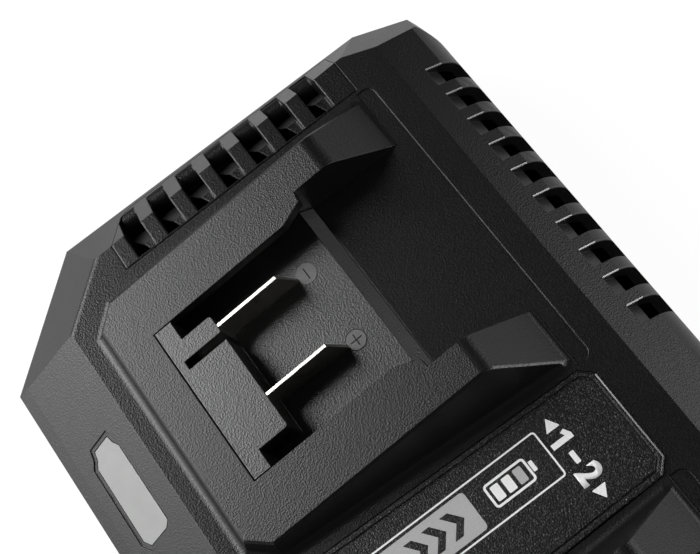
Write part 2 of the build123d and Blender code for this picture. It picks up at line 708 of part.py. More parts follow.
# ---------------------------------------------------------------- terminal inserts and contacts
for name, side in sides.items():
    shift = side * bay_x
    with BuildPart() as insert:
        with BuildSketch(bay_plane(side, floor_drop)):
            with Locations((0, (ledge_end - ledge) / 2)):
                Rectangle(2 * (groove_half + ledge), ledge_end + ledge)
        extrude(amount=-insert_plate)
        with BuildSketch(Plane.YZ.offset(shift)):
            with BuildLine():
                foot_y = floor_foot_y - fit_gap
                tail_y = floor_foot_y + insert_tail
                Polyline(bay_point(ledge_end - wall, floor_drop), bay_point(floor_back, floor_drop),
                         (foot_y, deck_z - recess_depth), (foot_y, deck_z - wall), (tail_y, deck_z - wall),
                         (tail_y, deck_z - wall - insert_plate),
                         bay_point(ledge_end - wall, floor_drop + insert_plate), close=True)
            make_face()
        extrude(amount=groove_half - fit_gap, both=True)
        with BuildSketch(bay_plane(side, floor_drop)) as block:
            with Locations((0, (block_strip[0] + block_strip[1]) / 2)):
                Rectangle(2 * block_half, block_strip[1] - block_strip[0])
            with Locations(((tongue[0] + tongue[1]) / 2, (block_strip[0] + tongue_end) / 2)):
                Rectangle(tongue[1] - tongue[0], tongue_end - block_strip[0])
            fillet(block.vertices().group_by(Axis.Y)[-1], radius=block_round)
        extrude(amount=floor_drop)
        with BuildSketch(bay_plane(side)):
            with Locations(((slot[0] + slot[1]) / 2, (slot_start + tongue_end) / 2)):
                Rectangle(slot[1] - slot[0], tongue_end - slot_start)
        extrude(amount=-floor_drop, mode=Mode.SUBTRACT)
        with BuildSketch(bay_plane(side, floor_drop + insert_plate)):
            with Locations((0, terminal_board_y)):
                with GridLocations(peg_pitch / 2, 0, 3, 1):
                    Rectangle(peg[0], peg[0])
        extrude(amount=-post_drop)
        with BuildSketch(bay_plane(side, terminal_board_drop)):
            with Locations((0, terminal_board_y)):
                with GridLocations(peg_pitch, 0, 2, 1):
                    Rectangle(peg[1], peg[1])
        extrude(amount=-terminal_board_size[2] - fit_gap)
        with BuildSketch(bay_plane(side, floor_drop)):
            for x in blade_x.values():
                with Locations((x, (blade_tail[0] + blade_tail[1]) / 2)):
                    Rectangle(blade_thick + 2 * fit_gap, blade_tail[1] - blade_tail[0] + 2 * fit_gap)
            with Locations((sense_x, sense_span[0] + sense_tail / 2)):
                Rectangle(sense_thick + 2 * fit_gap, sense_tail + 2 * fit_gap)
        extrude(amount=-insert_plate, mode=Mode.SUBTRACT)
        with BuildSketch(bay_plane(side, terminal_board_drop)):
            with Locations((0, terminal_board_y)):
                Circle(screw_radius + screw_clearance)
        extrude(amount=post_drop, mode=Mode.SUBTRACT)
    insert.part.label = f"terminal_insert_{name}"
    export_step(insert.part, f"parts/terminal_insert_{name}.step")

    for pole, x in blade_x.items():
        with BuildPart() as blade:
            with BuildSketch(Plane.YZ.offset(shift + x)):
                with BuildLine():
                    start, end = blade_span
                    Polyline(bay_point(start, blade_top), bay_point(end, blade_top),
                             bay_point(end + blade_rake, floor_drop), bay_point(blade_tail[1], floor_drop),
                             bay_point(blade_tail[1], tail_drop), bay_point(blade_tail[0], tail_drop),
                             bay_point(blade_tail[0], floor_drop), bay_point(start, floor_drop), close=True)
                make_face()
            extrude(amount=blade_thick / 2, both=True)
        blade.part.label = f"{pole}_blade_{name}"
        export_step(blade.part, f"parts/{pole}_blade_{name}.step")

    with BuildPart() as sense:
        with BuildSketch(Plane.YZ.offset(shift + sense_x)):
            with BuildLine():
                start, end = sense_span
                Polyline(bay_point(start, sense_top), bay_point(end, sense_top), bay_point(end, floor_drop),
                         bay_point(start + sense_tail, floor_drop), bay_point(start + sense_tail, tail_drop),
                         bay_point(start, tail_drop), close=True)
            make_face()
        extrude(amount=sense_thick / 2, both=True)
    sense.part.label = f"sense_contact_{name}"
    export_step(sense.part, f"parts/sense_contact_{name}.step")

    play = 2 * screw_clearance
    with BuildPart() as terminal_board:
        with BuildSketch(bay_plane(side, terminal_board_drop)):
            with Locations((0, terminal_board_y)):
                Rectangle(terminal_board_size[0], terminal_board_size[1])
                Circle(screw_radius + fit_gap, mode=Mode.SUBTRACT)
                with GridLocations(peg_pitch, 0, 2, 1):
                    Rectangle(peg[1] + play, peg[1] + play, mode=Mode.SUBTRACT)
            for x in blade_x.values():
                with Locations((x, (blade_tail[0] + blade_tail[1]) / 2)):
                    Rectangle(blade_thick + play, blade_tail[1] - blade_tail[0] + play, mode=Mode.SUBTRACT)
            with Locations((sense_x, sense_span[0] + sense_tail / 2)):
                Rectangle(sense_thick + play, sense_tail + play, mode=Mode.SUBTRACT)
        extrude(amount=-terminal_board_size[2])
    terminal_board.part.label = f"terminal_board_{name}"
    export_step(terminal_board.part, f"parts/terminal_board_{name}.step")

    with BuildPart() as leads:
        with BuildSketch(Plane.XY.offset(board_top)):
            with Locations((shift, lead_y)):
                Rectangle(lead_size[0], lead_size[1])
        extrude(amount=deck_z)
        split(bisect_by=bay_plane(side, terminal_board_drop + terminal_board_size[2]), keep=Keep.BOTTOM)
    leads.part.label = f"output_leads_{name}"
    export_step(leads.part, f"parts/output_leads_{name}.step")

# ---------------------------------------------------------------- front windows and their lamps
for name, side in sides.items():
    with BuildPart() as light_window:
        with BuildSketch(slope_plane(side).offset(-window_step)):
            add(window_outline(side))
        extrude(amount=window_step - slope_wall - window_flange)
        with BuildSketch(slope_plane(side).offset(-slope_wall)):
            add(window_outline(side, window_border))
        extrude(amount=-window_flange)
    light_window.part.label = f"light_window_{name}"
    export_step(light_window.part, f"parts/light_window_{name}.step")

    with BuildPart() as led_board:
        with BuildSketch(slope_plane(side).offset(-led_board_drop)):
            with Locations((0, led_board_centre)):
                Rectangle(led_board_size[0], led_board_size[1])
        extrude(amount=-board_size[2])
    led_board.part.label = f"led_board_{name}"
    export_step(led_board.part, f"parts/led_board_{name}.step")

    with BuildPart() as led_lamps:
        with BuildSketch(slope_plane(side).offset(-led_board_drop)):
            with Locations((0, led_board_centre)):
                with GridLocations(led_pitch, 0, 3, 1):
                    Rectangle(led_size, led_size)
        extrude(amount=led_height)
    led_lamps.part.label = f"led_lamps_{name}"
    export_step(led_lamps.part, f"parts/led_lamps_{name}.step")

# ---------------------------------------------------------------- label plate
with BuildPart() as label_plate:
    with BuildSketch(Plane.XY.offset(deck_z + plate_proud - plate_thick)):
        add(plate_outline())
    extrude(amount=plate_thick)
    chamfer(label_plate.faces().sort_by(Axis.Z)[-1].edges(), length=plate_proud / 2)
    with BuildSketch(Plane.XY.offset(deck_z + plate_proud)):
        add(plate_outline(-plate_bead))
        add(plate_outline(-plate_bead - plate_bead_width), mode=Mode.SUBTRACT)
    extrude(amount=-plate_proud / 2, mode=Mode.SUBTRACT)
label_plate.part.label = "label_plate"
export_step(label_plate.part, "parts/label_plate.step")

# ---------------------------------------------------------------- power supply
with BuildPart() as main_board:
    with BuildSketch(Plane.XY.offset(board_z)):
        with Locations((0, board_centre_y)):
            Rectangle(board_size[0], board_size[1])
        with Locations(*board_screws_at):
            Circle(screw_radius + fit_gap, mode=Mode.SUBTRACT)
        with Locations(*board_pegs_at):
            Rectangle(peg[1] + 2 * fit_gap, peg[1] + 2 * fit_gap, mode=Mode.SUBTRACT)
    extrude(amount=board_size[2])
main_board.part.label = "main_board"
export_step(main_board.part, "parts/main_board.step")

for name, side in sides.items():
    wide, deep, tall = transformer
    place = (side * transformer_at[0], transformer_at[1])
    with BuildPart() as core:
        with BuildSketch(Plane.XY.offset(board_top)):
            with Locations(place):
                Rectangle(wide, deep)
        extrude(amount=tall)
        with BuildSketch(Plane.XY.offset(board_top + core_wall)):
            with Locations(place):
                Rectangle(wide - 2 * core_wall, deep)
                Rectangle(core_leg, deep, mode=Mode.SUBTRACT)
        extrude(amount=tall - 2 * core_wall, mode=Mode.SUBTRACT)
    core.part.label = f"transformer_{name}"
    export_step(core.part, f"parts/transformer_{name}.step")

    with BuildPart() as winding:
        with BuildSketch(Plane.XY.offset(board_top + core_wall + fit_gap)):
            with Locations(place):
                Rectangle(wide - 2 * core_wall - 2 * fit_gap, deep + 2 * winding_out)
                Rectangle(core_leg + 2 * fit_gap, deep + 2 * fit_gap, mode=Mode.SUBTRACT)
        extrude(amount=tall - 2 * core_wall - 2 * fit_gap)
    winding.part.label = f"transformer_winding_{name}"
    export_step(winding.part, f"parts/transformer_winding_{name}.step")

with BuildPart() as bulk_capacitor:
    with BuildSketch(Plane.XY.offset(board_top)):
        with Locations(capacitor_at):
            Circle(capacitor[0])
    extrude(amount=capacitor[1])
bulk_capacitor.part.label = "bulk_capacitor"
export_step(bulk_capacitor.part, "parts/bulk_capacitor.step")

with BuildPart() as output_capacitors:
    with BuildSketch(Plane.XY.offset(board_top)):
        for side in sides.values():
            with Locations((side * small_capacitor_at[0], small_capacitor_at[1])):
                Circle(small_capacitor[0])
    extrude(amount=small_capacitor[1])
output_capacitors.part.label = "output_capacitors"
export_step(output_capacitors.part, "parts/output_capacitors.step")

with BuildPart() as line_choke:
    wide, deep, tall, core_width = choke
    with BuildSketch(Plane.XY.offset(board_top)):
        with Locations(choke_at):
            Rectangle(wide, core_width)
    extrude(amount=tall)
    with BuildSketch(Plane.XY.offset(board_top)):
        with Locations(choke_at):
            with GridLocations(wide - core_width, 0, 2, 1):
                Rectangle(core_width + core_width / 2, deep)
    extrude(amount=tall - core_width)
line_choke.part.label = "line_choke"
export_step(line_choke.part, "parts/line_choke.step")

with BuildPart() as fuse:
    with BuildSketch(Plane.XZ.offset(-fuse_at[1])):
        with Locations((fuse_at[0], board_top + fuse_size[0])):
            Circle(fuse_size[0])
    extrude(amount=fuse_size[1] / 2, both=True)
fuse.part.label = "fuse"
export_step(fuse.part, "parts/fuse.step")

for name, side in sides.items():
    with BuildPart() as heatsink:
        with BuildSketch(Plane.XY.offset(board_top)):
            with Locations((side * heatsink_at[0], heatsink_at[1])):
                Rectangle(heatsink_size[0], heatsink_size[1])
            fin_y = heatsink_at[1] + (heatsink_size[1] + heatsink_fin[1]) / 2
            with Locations((side * heatsink_at[0], fin_y)):
                with GridLocations(heatsink_fin[2], 0, heatsink_fin_count, 1):
                    Rectangle(heatsink_fin[0], heatsink_fin[1])
        extrude(amount=heatsink_size[2])
    heatsink.part.label = f"heatsink_{name}"
    export_step(heatsink.part, f"parts/heatsink_{name}.step")

with BuildPart() as power_transistors:
    with BuildSketch(Plane.XZ.offset(-heatsink_at[1] + heatsink_size[1] / 2)):
        for side in sides.values():
            with Locations((side * heatsink_at[0], board_top + transistor[1] / 2)):
                with GridLocations(transistor_pitch, 0, 2, 1):
                    Rectangle(transistor[0], transistor[1])
    extrude(amount=transistor[2])
power_transistors.part.label = "power_transistors"
export_step(power_transistors.part, "parts/power_transistors.step")

# ---------------------------------------------------------------- mains inlet
socket_z = board_top + inlet[2] / 2
with BuildPart() as mains_inlet:
    with BuildSketch(Plane.XZ.offset(-inlet_front_y)):
        with Locations((0, socket_z)):
            Rectangle(inlet[0], inlet[2])
    extrude(amount=inlet[1])
    with BuildSketch(Plane.XZ.offset(-inlet_front_y)):
        with Locations((0, socket_z)):
            SlotOverall(socket[0], socket[1])
    extrude(amount=socket[2], mode=Mode.SUBTRACT)
    with BuildSketch(Plane.XZ.offset(-inlet_front_y + socket[2])):
        with Locations((0, socket_z)):
            with GridLocations(pin_pitch, 0, 2, 1):
                Rectangle(pin_tail, pin_tail)
    extrude(amount=pin_root, mode=Mode.SUBTRACT)
mains_inlet.part.label = "mains_inlet"
export_step(mains_inlet.part, "parts/mains_inlet.step")

with BuildPart() as inlet_pins:
    with BuildSketch(Plane.XZ.offset(-inlet_front_y + pin_recess)):
        with Locations((0, socket_z)):
            with GridLocations(pin_pitch, 0, 2, 1):
                Circle(pin_radius)
    extrude(amount=socket[2] - pin_recess)
    with BuildSketch(Plane.XZ.offset(-inlet_front_y + socket[2])):
        with Locations((0, socket_z)):
            with GridLocations(pin_pitch, 0, 2, 1):
                Rectangle(pin_tail, pin_tail)
    extrude(amount=pin_root)
inlet_pins.part.label = "inlet_pins"
export_step(inlet_pins.part, "parts/inlet_pins.step")

# ---------------------------------------------------------------- screws
with BuildPart() as housing_screws:
    with BuildSketch(Plane.XY.offset(counterbore_z)) as heads:
        with Locations(*screw_places):
            Circle(screw_head[0])
    extrude(amount=-screw_head[1])
    with BuildSketch(Plane.XY.offset(counterbore_z)):
        with Locations(*screw_places):
            Circle(screw_radius)
    extrude(amount=boss_split_z - counterbore_z + screw_bite)
housing_screws.part.label = "housing_screws"
export_step(housing_screws.part, "parts/housing_screws.step")

with BuildPart() as board_screws:
    with BuildSketch(Plane.XY.offset(board_top)):
        with Locations(*board_screws_at):
            RegularPolygon(small_head[0], 6)
    extrude(amount=small_head[1])
    with BuildSketch(Plane.XY.offset(board_top)):
        with Locations(*board_screws_at):
            Circle(screw_radius)
    extrude(amount=-board_screw_length)
board_screws.part.label = "board_screws"
export_step(board_screws.part, "parts/board_screws.step")

with BuildPart() as insert_screws:
    for side in sides.values():
        with BuildSketch(bay_plane(side, terminal_board_drop + terminal_board_size[2])):
            with Locations((0, terminal_board_y)):
                RegularPolygon(small_head[0], 6)
        extrude(amount=-small_head[1])
        with BuildSketch(bay_plane(side, terminal_board_drop + terminal_board_size[2])):
            with Locations((0, terminal_board_y)):
                Circle(screw_radius)
        extrude(amount=terminal_board_size[2] + post_drop - 1)
insert_screws.part.label = "insert_screws"
export_step(insert_screws.part, "parts/insert_screws.step")

# ---------------------------------------------------------------- feet
for name, place in foot_places.items():
    with BuildPart() as foot:
        with BuildSketch():
            with Locations(place):
                add(foot_outline())
        extrude(amount=base_z + foot_sink)
        chamfer(foot.faces().sort_by(Axis.Z)[0].edges(), length=foot_sink / 2)
    foot.part.label = f"foot_{name}"
    export_step(foot.part, f"parts/foot_{name}.step")
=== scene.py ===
import json
import math

import bpy
from mathutils import Matrix, Vector


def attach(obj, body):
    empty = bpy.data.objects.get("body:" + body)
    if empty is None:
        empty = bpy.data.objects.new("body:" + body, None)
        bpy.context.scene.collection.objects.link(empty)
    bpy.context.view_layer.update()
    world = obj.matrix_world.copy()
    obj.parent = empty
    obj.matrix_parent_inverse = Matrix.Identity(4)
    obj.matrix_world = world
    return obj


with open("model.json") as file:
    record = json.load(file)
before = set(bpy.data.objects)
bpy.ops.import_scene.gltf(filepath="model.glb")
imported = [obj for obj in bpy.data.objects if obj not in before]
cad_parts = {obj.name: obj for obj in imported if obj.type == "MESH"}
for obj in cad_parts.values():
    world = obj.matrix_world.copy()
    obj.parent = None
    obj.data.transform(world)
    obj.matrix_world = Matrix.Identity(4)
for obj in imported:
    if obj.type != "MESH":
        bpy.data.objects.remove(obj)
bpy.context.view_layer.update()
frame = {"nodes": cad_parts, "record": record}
nodes = frame["nodes"]
sides = {"left": -1, "right": 1}
mm = 0.001

# Places on the charger, in millimetres of its own frame
bay_x = 72.0                        # middle of a bay
bay_front = (-37.08, 61.88)         # y and z of the front end of a bay's channel
bay_tilt = math.radians(7.116)
floor_drop = 12.07                  # floor of a bay below its frame's top
plate_top = 54.6
split_z = 35.5                      # parting line of the two housings
blade_x = {"negative": -16.1, "positive": 9.1}

# Moulded surfaces, in millimetres
grain_size = 0.32
pit_spacing = 0.5
gloss_patch = 22.0                  # size of the slow changes of gloss over a face
seam_half = 0.16                    # half the width of the parting line
seam_depth = 6.0                    # of the parting line, in depths of the grain
bevel_samples = 6


# ---------------------------------------------------------------- shader expressions
class Value:
    """A shader socket that can be added, multiplied and compared like a number."""

    def __init__(self, finish, socket):
        self.finish = finish
        self.socket = socket

    def math(self, operation, *others, swap=False):
        inputs = list(others) + [self] if swap else [self] + list(others)
        return self.finish.node("ShaderNodeMath", {"operation": operation}, dict(enumerate(inputs)))

    def __add__(self, other):
        return self.math("ADD", other)

    def __radd__(self, other):
        return self.math("ADD", other)

    def __sub__(self, other):
        return self.math("SUBTRACT", other)

    def __rsub__(self, other):
        return self.math("SUBTRACT", other, swap=True)

    def __mul__(self, other):
        return self.math("MULTIPLY", other)

    def __rmul__(self, other):
        return self.math("MULTIPLY", other)

    def __lt__(self, other):
        return self.math("LESS_THAN", other)

    def abs(self):
        return self.math("ABSOLUTE")


class Shading:
    """A node tree under construction: nodes come from node(), sums from the Values it returns."""

    def __init__(self, tree):
        self.nodes = tree.nodes
        self.links = tree.links

    def node(self, kind, settings=None, values=None, output=0):
        made = self.nodes.new(kind)
        for key, value in (settings or {}).items():
            setattr(made, key, value)
        for key, value in (values or {}).items():
            if isinstance(value, Value):
                self.links.new(value.socket, made.inputs[key])
            else:
                made.inputs[key].default_value = value
        return Value(self, made.outputs[output])

    def range(self, value, low, high, to_low, to_high):
        return self.node("ShaderNodeMapRange", {"clamp": True},
                         {"Value": value, "From Min": low, "From Max": high,
                          "To Min": to_low, "To Max": to_high})

    def ray(self, kind):
        """1 for rays of the given kind, otherwise 0."""
        return self.node("ShaderNodeLightPath", output=kind)

    def blend(self, factor, first, second):
        return self.node("ShaderNodeMixShader", values={0: factor, 1: first, 2: second})

    def finish_with(self, output, shader):
        self.links.new(shader.socket, self.nodes[output].inputs["Surface"])


class Finish(Shading):
    """A material under construction around its one surface shader."""

    def __init__(self, name, colour, roughness, metallic=0.0, specular=0.5):
        self.material = bpy.data.materials.new(name)
        self.material.use_nodes = True
        super().__init__(self.material.node_tree)
        self.shader = self.nodes["Principled BSDF"]
        self.set("Base Color", (*colour, 1.0))
        self.set("Roughness", roughness)
        self.set("Metallic", metallic)
        self.set("Specular IOR Level", specular)
        self.material.diffuse_color = (*colour, 1.0)

    def set(self, socket, value):
        if isinstance(value, Value):
            self.links.new(value.socket, self.shader.inputs[socket])
        else:
            self.shader.inputs[socket].default_value = value

    def place(self):
        """Object coordinates, in metres."""
        return self.node("ShaderNodeTexCoord", output=3)

    def height(self):
        """Z of the place, in metres."""
        return self.node("ShaderNodeSeparateXYZ", values={"Vector": self.place()}, output=2)

    def noise(self, size, detail=2.0):
        """Noise with features of the given size in millimetres."""
        return self.node("ShaderNodeTexNoise", {"noise_dimensions": "3D"},
                         {"Vector": self.place(), "Scale": 1.0 / (size * mm), "Detail": detail})

    def specks(self, size):
        """Distance to the nearest of scattered points, spaced by the given size in millimetres."""
        return self.node("ShaderNodeTexVoronoi", {"feature": "F1"},
                         {"Vector": self.place(), "Scale": 1.0 / (size * mm)})

    def mix(self, factor, first, second):
        return self.node("ShaderNodeMix", {"data_type": "RGBA"},
                         {0: factor, 6: (*first, 1.0), 7: (*second, 1.0)}, output=2)

    def relief(self, height, depth, edge=0.0):
        """Normal of a surface with a relief of the given depth and rounded edges, in mm."""
        values = {"Height": height, "Distance": depth * mm}
        if edge > 0:
            values["Normal"] = self.node("ShaderNodeBevel", {"samples": bevel_samples},
                                         {"Radius": edge * mm})
        return self.node("ShaderNodeBump", {}, values)


def grey(level):
    return (level, level, level)


def tinted(colour, factor):
    return tuple(min(1.0, channel * factor) for channel in colour)


# ---------------------------------------------------------------- finishes
def moulded_plastic(name, level, roughness, grain=grain_size, depth=0.05, edge=0.3, seam=False,
                    specular=0.5):
    """Black moulding with a fine spark-eroded grain and slightly rounded edges."""
    finish = Finish(name, grey(level), roughness, specular=specular)
    fine = finish.noise(grain, detail=0.0)
    broad = finish.noise(gloss_patch)
    shade = finish.range(fine, 0.3, 0.7, 0.0, 1.0)
    relief = finish.specks(pit_spacing)
    if seam:
        line = (finish.height() - split_z * mm).abs() < seam_half * mm
        shade = shade * (1 - line)
        relief = relief - seam_depth * line
    dark, light = tinted(grey(level), 0.7), tinted(grey(level), 1.3)
    finish.set("Base Color", finish.mix(shade, dark, light))
    finish.set("Roughness", roughness + 0.05 * (broad - 0.5) + 0.12 * (fine - 0.5))
    finish.set("Normal", finish.relief(relief, depth, edge))
    return finish.material


def metal(name, colour, roughness, streak=0.8, edge=0.3):
    """Bare or plated metal, faintly rubbed."""
    finish = Finish(name, colour, roughness, metallic=1.0)
    rub = finish.noise(streak, detail=3.0)
    finish.set("Normal", finish.relief(rub, 0.0015, edge))
    finish.set("Roughness", roughness + 0.14 * (rub - 0.5))
    finish.set("Base Color", finish.mix(rub, tinted(colour, 0.82), colour))
    return finish.material


def plain(name, colour, roughness, spread=0.1, size=3.0):
    """A small part's finish with a slight change of tone over it."""
    finish = Finish(name, colour, roughness)
    cloud = finish.noise(size, detail=3.0)
    dark, light = tinted(colour, 1 - spread), tinted(colour, 1 + spread)
    finish.set("Base Color", finish.mix(cloud, dark, light))
    finish.set("Roughness", roughness + 0.08 * (cloud - 0.5))
    return finish.material


def speckled_plate(name, level):
    """The label plate: black with a coarse sparkling grain."""
    roughness = 0.42
    finish = Finish(name, grey(level), roughness)
    bright = finish.range(finish.specks(0.75), 0.1, 0.42, 1.0, 0.0)
    fine = finish.noise(0.34, detail=0.0)
    finish.set("Base Color", finish.mix(bright, tinted(grey(level), 0.4), tinted(grey(level), 9.0)))
    finish.set("Roughness", roughness - 0.1 * bright)
    finish.set("Normal", finish.relief(0.3 * bright + fine, 0.12, 0.6))
    return finish.material


def printed_ink(name, level):
    """Ink of the given grey, with a fine grain of its own."""
    roughness = 0.5
    finish = Finish(name, grey(level), roughness)
    fine = finish.noise(0.45, detail=3.0)
    finish.set("Base Color", finish.mix(fine, tinted(grey(level), 0.85), tinted(grey(level), 1.12)))
    finish.set("Roughness", roughness + 0.1 * (fine - 0.5))
    finish.set("Normal", finish.relief(fine, 0.02))
    return finish.material


def frosted_window():
    """Light diffuser: frosted, with a faint cloudiness."""
    colour = (0.325, 0.33, 0.325)
    finish = Finish("frosted_window", colour, 0.34)
    cloud = finish.noise(6.0, detail=3.0)
    fine = finish.noise(0.35)
    finish.set("Base Color", finish.mix(cloud, tinted(colour, 0.88), tinted(colour, 1.08)))
    finish.set("Roughness", 0.3 + 0.14 * fine)
    finish.set("Normal", finish.relief(fine, 0.01, 0.25))
    return finish.material


finishes = {
    "housing": moulded_plastic("black_moulding", 0.006, 0.34, seam=True),
    "lower": moulded_plastic("black_moulding_base", 0.006, 0.36, seam=True),
    "insert": moulded_plastic("black_insert", 0.006, 0.34, specular=0.78),
    "grille": moulded_plastic("black_grille", 0.006, 0.32, depth=0.06, edge=0.8),
    "plate": speckled_plate("label_grain", 0.006),
    "window": frosted_window(),
    "contact": metal("nickel_contact", (0.80, 0.78, 0.74), 0.3, streak=3.0, edge=0.0),
    "board": plain("circuit_board", (0.012, 0.10, 0.04), 0.35),
    "core": plain("ferrite", grey(0.05), 0.5),
    "copper": metal("copper_winding", (0.75, 0.36, 0.18), 0.3),
    "can": plain("capacitor_sleeve", (0.03, 0.04, 0.09), 0.3),
    "heatsink": metal("bare_aluminium", (0.78, 0.79, 0.80), 0.4),
    "component": plain("component_body", grey(0.03), 0.35),
    "fuse": plain("glass_fuse", (0.6, 0.63, 0.62), 0.12),
    "lamp": plain("clear_lamp", (0.75, 0.8, 0.75), 0.2),
    "wire": plain("lead_sleeve", (0.4, 0.03, 0.02), 0.4),
    "inlet": moulded_plastic("inlet_moulding", 0.02, 0.35, grain=0.6, depth=0.008, edge=0.4),
    "screw": metal("zinc_screw", (0.62, 0.63, 0.65), 0.3),
    "foot": plain("black_rubber", grey(0.03), 0.8, 0.15, 1.1),
}
light_ink = printed_ink("light_ink", 0.85)
grey_ink = printed_ink("grey_ink", 0.42)
disc_plastic = moulded_plastic("smooth_disc", 0.03, 0.34, depth=0.01, edge=0.1, specular=1.0)
# Near-black: painted shade in the shallow groove round each polarity pad, and the own dark colour
# of the raised plus and minus.
sign_colour_and_painted_groove_shade = plain("sign_colour_and_painted_groove_shade", grey(0.003), 0.7)
# A lighter, glossier copy of the black moulding for the vent lips and the plate bead: the lamps
# light their tilted faces, and the lighter colour adds painted highlight along those edges.
trim_plastic_with_painted_highlight = moulded_plastic("lip_with_painted_highlight", 0.015, 0.26, depth=0.006, edge=0.05, specular=1.0)

for part in frame["record"]["subparts"]:
    shown = nodes[part["node"]]
    shown.data.materials.clear()
    shown.data.materials.append(finishes[part["material_slot"]])


# ---------------------------------------------------------------- modelling steps
def start_piece():
    """Nothing selected, so that the next primitive stands alone."""
    bpy.ops.object.select_all(action="DESELECT")


def in_edit(step):
    """Runs a function on the active object in edit mode."""
    bpy.ops.object.mode_set(mode="EDIT")
    step()
    bpy.ops.object.mode_set(mode="OBJECT")


def on_plate(centre):
    """A place on the label plate, in metres."""
    return (centre[0] * mm, centre[1] * mm, plate_top * mm)


def flat_block(centre, size, corner=0.0):
    """A flat rectangle on the label plate, its corners rounded, all in millimetres."""
    start_piece()
    bpy.ops.mesh.primitive_plane_add(size=1.0, location=on_plate(centre))
    block = bpy.context.object
    block.scale = (size[0] * mm, size[1] * mm, 1.0)
    bpy.ops.object.transform_apply(location=True, rotation=True, scale=True)
    if corner > 0:
        in_edit(lambda: bpy.ops.mesh.bevel(offset=corner * mm, segments=5, affect="VERTICES"))
    return block


def outline_block(centre, size, corner, line):
    """A rounded rectangle's outline of the given line width."""
    block = flat_block(centre, size, corner)

    def hollow():
        bpy.ops.mesh.select_all(action="SELECT")
        bpy.ops.mesh.inset(thickness=line * mm)
        bpy.ops.mesh.delete(type="FACE")

    in_edit(hollow)
    return block


def chevron(centre, size, reach):
    """An arrow head of even thickness that points to the back of the charger."""
    block = flat_block(centre, size)

    def divide():
        bpy.ops.mesh.select_all(action="SELECT")
        bpy.ops.mesh.subdivide(number_cuts=1)
        bpy.ops.mesh.select_all(action="DESELECT")

    in_edit(divide)
    for point in block.data.vertices:
        point.select = abs(point.co.x - centre[0] * mm) < 0.1 * mm
    in_edit(lambda: bpy.ops.transform.translate(value=(0.0, reach * mm, 0.0)))
    return block


def triangle(centre, radius, turn):
    """A small solid arrow head, turned in the plate's plane."""
    start_piece()
    bpy.ops.mesh.primitive_circle_add(vertices=3, radius=radius * mm, fill_type="NGON",
                                      location=on_plate(centre), rotation=(0.0, 0.0, turn))
    head = bpy.context.object
    bpy.ops.object.transform_apply(location=True, rotation=True, scale=True)
    in_edit(lambda: bpy.ops.mesh.bevel(offset=0.12 * radius * mm, segments=3, affect="VERTICES"))
    return head


def outline_shape(name, outline):
    """A flat shape with the given corners on the label plate, in millimetres."""
    start_piece()
    bpy.ops.mesh.primitive_circle_add(vertices=len(outline), radius=mm, fill_type="NGON")
    shape = bpy.context.object
    shape.name = name
    for point, (x, y) in zip(shape.data.vertices, outline):
        point.co = Vector((x, y, plate_top)) * mm
    in_edit(lambda: bpy.ops.mesh.normals_make_consistent(inside=False))
    return shape


def swept(name, section, path):
    """A closed strip: a section, given from the path's first point, extruded along the path."""
    start_piece()
    bpy.ops.mesh.primitive_circle_add(vertices=len(section), radius=mm, fill_type="NGON")
    strip = bpy.context.object
    strip.name = name
    for point, place in zip(strip.data.vertices, section):
        point.co = (Vector(path[0]) + Vector(place)) * mm

    def sweep():
        bpy.ops.mesh.select_all(action="SELECT")
        for here, there in zip(path, path[1:]):
            step = (Vector(there) - Vector(here)) * mm
            bpy.ops.mesh.extrude_region_move(TRANSFORM_OT_translate={"value": step})
        bpy.ops.mesh.select_all(action="SELECT")
        bpy.ops.mesh.normals_make_consistent(inside=False)

    in_edit(sweep)
    return strip


def numeral(figure, centre, tall):
    """A plain bold figure on the label plate, upright towards the back."""
    start_piece()
    bpy.ops.object.text_add(location=on_plate(centre))
    text = bpy.context.object
    text.data.body = figure
    text.data.align_x = "CENTER"
    text.data.align_y = "CENTER"
    text.data.size = tall * mm / 0.7
    text.data.offset = 0.06 * tall * mm
    bpy.ops.object.convert(target="MESH")
    bpy.ops.object.transform_apply(location=True, rotation=True, scale=True)
    return bpy.context.object


def joined(name, pieces):
    """The given pieces as one mesh."""
    start_piece()
    for piece in pieces:
        piece.select_set(True)
    bpy.context.view_layer.objects.active = pieces[0]
    if len(pieces) > 1:
        bpy.ops.object.join()
    whole = bpy.context.object
    bpy.ops.object.transform_apply(location=True, rotation=True, scale=True)
    whole.name = name
    whole.data.name = name
    return whole


def printed(name, pieces, ink, thickness=0.04):
    """Flat shapes on the label plate, as one print of the given thickness in millimetres."""
    ink_film = joined(name, pieces)
    solid = ink_film.modifiers.new("film", "SOLIDIFY")
    solid.thickness = thickness * mm
    solid.offset = 0.5
    bpy.ops.object.modifier_apply(modifier=solid.name)
    ink_film.data.materials.clear()
    ink_film.data.materials.append(ink)
    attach(ink_film, "root")


# ---------------------------------------------------------------- print on the label plate
band_x = (-12.1, 2.8)
band_y = (-44.0, 30.8)
band_middle = (sum(band_x) / 2, sum(band_y) / 2)
band_size = (band_x[1] - band_x[0], band_y[1] - band_y[0])
band_line = 0.5
band_corner = 1.1
field_y = (band_y[0] + 2.2, 6.0)
field_margin = 1.4                  # between the field and the band's sides
cell_middle = (band_middle[0], 17.4)
cell_size = (7.4, 13.4)
cell_corner = 1.2
cell_line = 0.7
bar_size = (4.6, 2.6)
bar_corner = 0.4
bar_steps = (-3.9, -0.2, 3.5)       # along the cell from its middle
head_size = (7.6, 2.6)
head_reach = 3.0
numbers_y = 35.2
figure_one = [(0.9, -3.3), (0.9, 3.3), (-0.5, 3.3), (-2.5, 2.1), (-2.0, 0.8), (-0.8, 1.5),
              (-0.8, -3.3)]


def level_bar(step):
    """One of the cell's level bars."""
    return flat_block((cell_middle[0], cell_middle[1] + step), bar_size, bar_corner)


